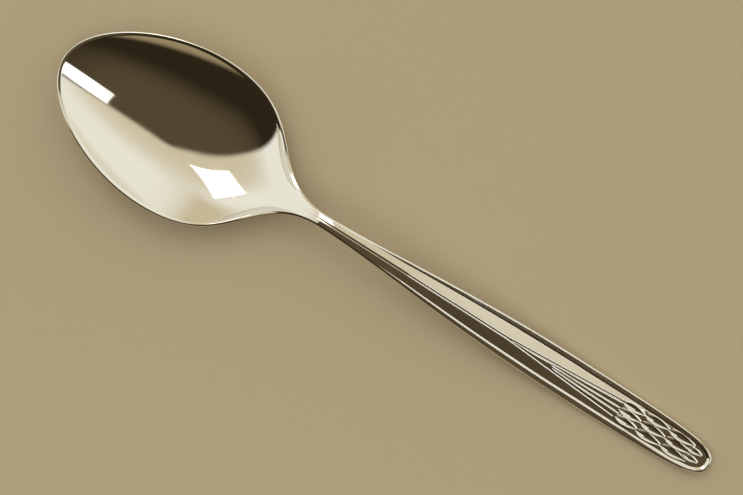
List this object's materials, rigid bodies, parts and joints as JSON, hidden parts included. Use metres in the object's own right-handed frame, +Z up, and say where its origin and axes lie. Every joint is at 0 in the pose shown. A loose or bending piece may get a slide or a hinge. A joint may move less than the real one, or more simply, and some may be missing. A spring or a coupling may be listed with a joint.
{
  "type": "tablespoon",
  "caption": "Polished steel tablespoon with a deep oval bowl, a slim neck and an arched handle with raised borders and a wheat-ear ornament at its end.",
  "frame": {"origin": "on the table, under the middle of the spoon's length and width", "axes": "+X from the tip of the bowl to the end of the handle, +Y to the side, +Z up from the table, with the bowl's hollow facing up"},
  "size_m": [0.2, 0.0444, 0.0129],
  "materials": {
    "polished_steel": "polished"
  },
  "bodies": {
    "root": {"bowl": "polished_steel", "handle": "polished_steel"}
  },
  "joints": []
}
